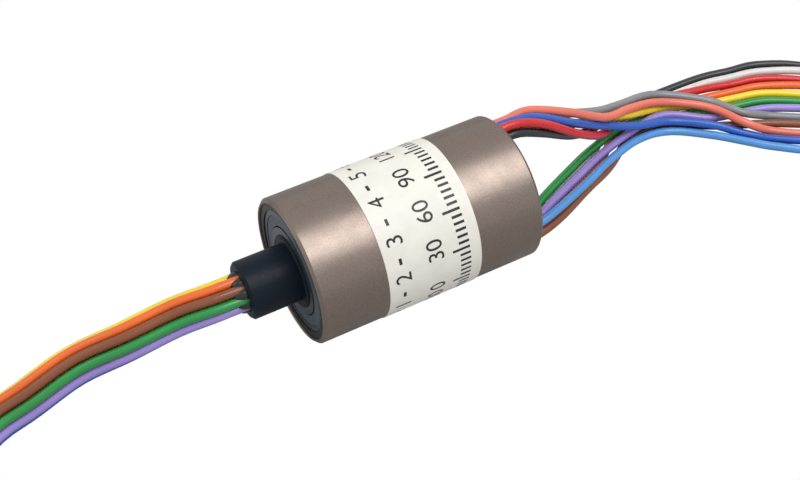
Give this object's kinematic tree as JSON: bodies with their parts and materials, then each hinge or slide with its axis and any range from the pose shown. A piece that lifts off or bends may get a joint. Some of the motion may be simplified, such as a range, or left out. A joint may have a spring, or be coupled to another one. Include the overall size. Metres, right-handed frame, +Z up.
{
  "type": "slip ring",
  "caption": "Capsule slip ring: a cylindrical metal housing with a hollow shaft that turns freely in it, and coloured leads from the shaft and from the housing's other end.",
  "frame": {"origin": "on the turning axis, at the middle of the housing's length", "axes": "+X along the turning axis, from the shaft's end towards the end with the lead outlets; +Z up as the housing lies on a surface"},
  "size_m": [0.1545, 0.0171, 0.0122],
  "materials": {
    "anodised_shell": "bead-blasted and anodised, champagne brown, satin",
    "label_film": "cream film label, satin",
    "black_moulding": "moulded, satin",
    "black_carrier": "turned black plastic, satin",
    "race_steel": "ground",
    "ball_steel": "polished",
    "cage_brass": "stamped",
    "shield_steel": "stamped, matt blue-grey",
    "shaft_plastic": "turned blue-black plastic, satin",
    "barrier_plastic": "moulded",
    "board_laminate": "glass laminate with green mask",
    "gold_alloy": "gold plated",
    "potting": "cast resin, glossy",
    "hank": "twelve coloured leads wound together",
    "tie": "flat tie, satin",
    "lead_black": "extruded fluoropolymer insulation, glossy",
    "lead_brown": "extruded fluoropolymer insulation, glossy",
    "lead_red": "extruded fluoropolymer insulation, glossy",
    "lead_orange": "extruded fluoropolymer insulation, glossy",
    "lead_yellow": "extruded fluoropolymer insulation, glossy",
    "lead_green": "extruded fluoropolymer insulation, glossy",
    "lead_blue": "extruded fluoropolymer insulation, glossy",
    "lead_violet": "extruded fluoropolymer insulation, glossy",
    "lead_grey": "extruded fluoropolymer insulation, glossy",
    "lead_white": "extruded fluoropolymer insulation, glossy",
    "lead_pink": "extruded fluoropolymer insulation, glossy",
    "lead_light_blue": "extruded fluoropolymer insulation, glossy"
  },
  "bodies": {
    "stator": {"housing": "anodised_shell", "label": "label_film", "rear_cap": "black_moulding", "bearing_carrier": "black_carrier", "front_bearing_outer_race": "race_steel", "front_bearing_shields": "shield_steel", "rear_bearing_outer_race": "race_steel", "brush_board_a": "board_laminate", "brush_board_b": "board_laminate", "brush_springs_a": "gold_alloy", "brush_springs_b": "gold_alloy", "outlet_potting": "potting", "stator_lead_01": "lead_black", "stator_lead_02": "lead_brown", "stator_lead_03": "lead_red", "stator_lead_04": "lead_orange", "stator_lead_05": "lead_yellow", "stator_lead_06": "lead_green", "stator_lead_07": "lead_blue", "stator_lead_08": "lead_violet", "stator_lead_09": "lead_grey", "stator_lead_10": "lead_white", "stator_lead_11": "lead_pink", "stator_lead_12": "lead_light_blue", "rotor_lead_01": "lead_black", "rotor_lead_02": "lead_brown", "rotor_lead_03": "lead_red", "rotor_lead_04": "lead_orange", "rotor_lead_05": "lead_yellow", "rotor_lead_06": "lead_green", "rotor_lead_07": "lead_blue", "rotor_lead_08": "lead_violet", "rotor_lead_09": "lead_grey", "rotor_lead_10": "lead_white", "rotor_lead_11": "lead_pink", "rotor_lead_12": "lead_light_blue", "rotor_hank": "hank", "stator_hank": "hank", "hank_ties": "tie"},
    "rotor": {"rotor_shaft": "shaft_plastic", "ring_barriers": "barrier_plastic", "contact_ring_01": "gold_alloy", "contact_ring_02": "gold_alloy", "contact_ring_03": "gold_alloy", "contact_ring_04": "gold_alloy", "contact_ring_05": "gold_alloy", "contact_ring_06": "gold_alloy", "contact_ring_07": "gold_alloy", "contact_ring_08": "gold_alloy", "contact_ring_09": "gold_alloy", "contact_ring_10": "gold_alloy", "contact_ring_11": "gold_alloy", "contact_ring_12": "gold_alloy", "front_bearing_inner_race": "race_steel", "rear_bearing_inner_race": "race_steel", "rotor_potting": "potting"},
    "front_ball_set": {"front_bearing_balls": "ball_steel", "front_bearing_cage": "cage_brass"},
    "rear_ball_set": {"rear_bearing_balls": "ball_steel", "rear_bearing_cage": "cage_brass"}
  },
  "joints": [
    {"name": "rotor_spin", "type": "hinge", "parent": "stator", "child": "rotor", "pos_m": [0, 0, 0], "axis": [1, 0, 0], "continuous": true},
    {"name": "front_balls_spin", "type": "hinge", "parent": "stator", "child": "front_ball_set", "pos_m": [-0.0079, 0, 0], "axis": [1, 0, 0], "continuous": true},
    {"name": "rear_balls_spin", "type": "hinge", "parent": "stator", "child": "rear_ball_set", "pos_m": [0.0069, 0, 0], "axis": [1, 0, 0], "continuous": true}
  ],
  "couplings": [
    {"joint": "front_balls_spin", "follows": "rotor_spin", "ratio": 0.425},
    {"joint": "rear_balls_spin", "follows": "rotor_spin", "ratio": 0.4111}
  ]
}
